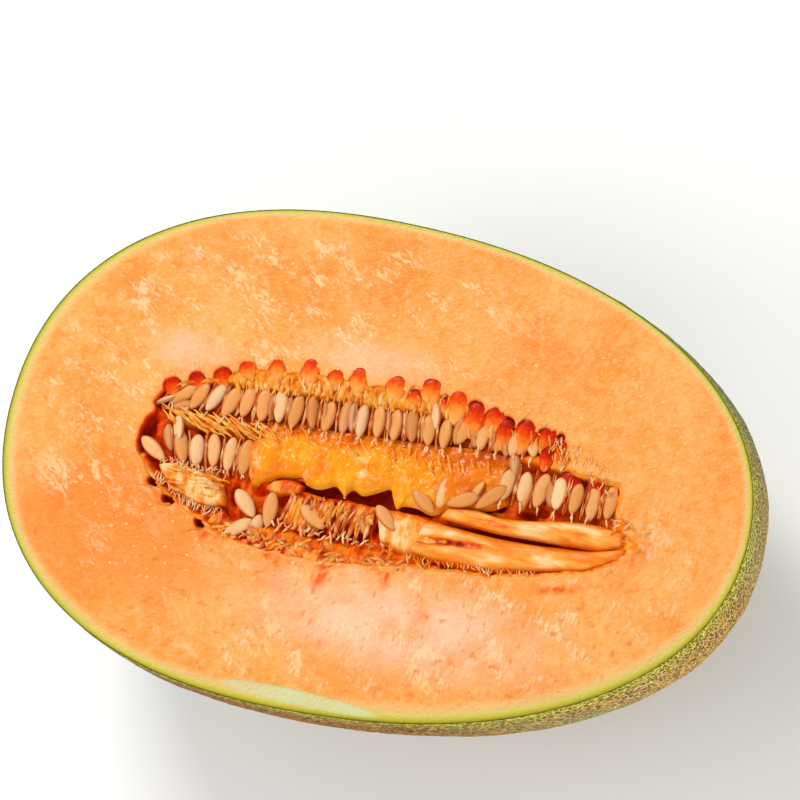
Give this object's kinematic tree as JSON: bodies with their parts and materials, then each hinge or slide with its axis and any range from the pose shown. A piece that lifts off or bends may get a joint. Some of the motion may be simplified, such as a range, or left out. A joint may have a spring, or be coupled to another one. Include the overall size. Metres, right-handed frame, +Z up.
{
  "type": "cantaloupe melon half",
  "caption": "Cantaloupe melon cut lengthwise: netted rind, thick orange flesh and an open cavity of torn pulp and seeds. A food prop that rests on its rind.",
  "frame": {"origin": "on the ground, under the middle of the half's length and width", "axes": "+X along the fruit's long axis towards its narrower end, +Y across it, +Z up out of the cut face"},
  "size_m": [0.248, 0.161, 0.0954],
  "materials": {
    "orange_flesh": "satin",
    "jelly_pulp": "gloss",
    "seed_coat": "satin"
  },
  "bodies": {
    "root": {"melon_half": "orange_flesh", "upper_pulp": "jelly_pulp", "left_pulp_lobe": "jelly_pulp", "lower_pulp": "jelly_pulp", "upper_pulp_strip": "jelly_pulp", "lower_pulp_strip": "jelly_pulp", "seed_core_pile_01": "seed_coat", "seed_core_pile_02": "seed_coat", "seed_core_pile_03": "seed_coat", "seed_core_pile_04": "seed_coat", "seed_end_seed_01": "seed_coat", "seed_left_row_01": "seed_coat", "seed_left_row_02": "seed_coat", "seed_left_row_03": "seed_coat", "seed_left_row_04": "seed_coat", "seed_left_row_05": "seed_coat", "seed_lower_seed_01": "seed_coat", "seed_pocket_row_01": "seed_coat", "seed_pocket_row_02": "seed_coat", "seed_pocket_row_03": "seed_coat", "seed_pocket_row_04": "seed_coat", "seed_pocket_row_05": "seed_coat", "seed_pocket_row_06": "seed_coat", "seed_pocket_row_07": "seed_coat", "seed_right_row_01": "seed_coat", "seed_right_row_02": "seed_coat", "seed_right_row_03": "seed_coat", "seed_right_row_04": "seed_coat", "seed_right_row_05": "seed_coat", "seed_right_row_06": "seed_coat", "seed_right_row_07": "seed_coat", "seed_slit_seed_01": "seed_coat", "seed_torn_pile_01": "seed_coat", "seed_torn_pile_02": "seed_coat", "seed_torn_pile_03": "seed_coat", "seed_upper_row_01": "seed_coat", "seed_upper_row_02": "seed_coat", "seed_upper_row_03": "seed_coat", "seed_upper_row_04": "seed_coat", "seed_upper_row_05": "seed_coat", "seed_upper_row_06": "seed_coat", "seed_upper_row_07": "seed_coat", "seed_upper_row_08": "seed_coat", "seed_upper_row_09": "seed_coat", "seed_upper_row_10": "seed_coat", "seed_upper_row_11": "seed_coat", "seed_upper_row_12": "seed_coat", "seed_upper_row_13": "seed_coat", "seed_upper_row_14": "seed_coat", "seed_upper_row_15": "seed_coat", "seed_upper_row_16": "seed_coat", "seed_upper_row_17": "seed_coat"}
  },
  "joints": []
}
